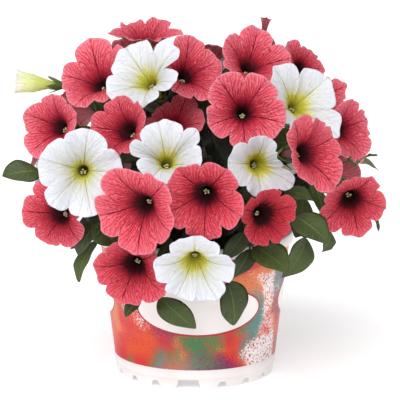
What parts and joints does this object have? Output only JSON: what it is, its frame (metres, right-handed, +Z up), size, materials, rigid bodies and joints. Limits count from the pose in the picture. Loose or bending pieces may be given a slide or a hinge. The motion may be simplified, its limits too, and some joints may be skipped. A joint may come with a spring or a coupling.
{
  "type": "potted petunia",
  "caption": "Bushy petunia in bloom: trumpet flowers in coral red and white over dark oval leaves, in a tapering round plastic pot full of soil.",
  "frame": {"origin": "centre of the circle that the pot's feet stand on", "axes": "+Z up along the pot's axis; the plant's best side, with the most blooms, faces -Y"},
  "size_m": [0.3072, 0.3131, 0.2923],
  "materials": {
    "coral_petal": "satin",
    "white_petal": "satin",
    "lime_bud": "satin",
    "leaf": "satin",
    "soil": "matte",
    "pot": "satin"
  },
  "bodies": {
    "root": {"bloom_01": "coral_petal", "bloom_02": "coral_petal", "bloom_03": "coral_petal", "bloom_04": "coral_petal", "bloom_05": "coral_petal", "bloom_06": "coral_petal", "bloom_07": "coral_petal", "bloom_08": "coral_petal", "bloom_09": "coral_petal", "bloom_10": "coral_petal", "bloom_11": "coral_petal", "bloom_12": "coral_petal", "bloom_13": "coral_petal", "bloom_14": "coral_petal", "bloom_15": "coral_petal", "bloom_16": "coral_petal", "bloom_17": "coral_petal", "bloom_18": "coral_petal", "bloom_19": "white_petal", "bloom_20": "white_petal", "bloom_21": "white_petal", "bloom_22": "white_petal", "bloom_23": "white_petal", "bloom_24": "white_petal", "bloom_25": "coral_petal", "bloom_26": "white_petal", "bloom_27": "coral_petal", "bloom_28": "coral_petal", "bloom_29": "white_petal", "bloom_30": "coral_petal", "bloom_31": "white_petal", "bloom_32": "coral_petal", "bloom_33": "coral_petal", "bloom_34": "coral_petal", "bloom_35": "coral_petal", "bloom_36": "white_petal", "bloom_37": "coral_petal", "bloom_38": "coral_petal", "bloom_39": "coral_petal", "bud_coral": "coral_petal", "bud_yellow": "lime_bud", "pot": "pot", "soil": "soil", "stem_01": "leaf", "stem_02": "leaf", "stem_03": "leaf", "stem_04": "leaf", "stem_05": "leaf", "stem_06": "leaf", "stem_07": "leaf", "stem_08": "leaf", "stem_09": "leaf", "stem_10": "leaf", "stem_11": "leaf", "stem_12": "leaf", "stem_13": "leaf", "stem_14": "leaf", "stem_15": "leaf", "stem_16": "leaf", "stem_17": "leaf"}
  },
  "joints": []
}
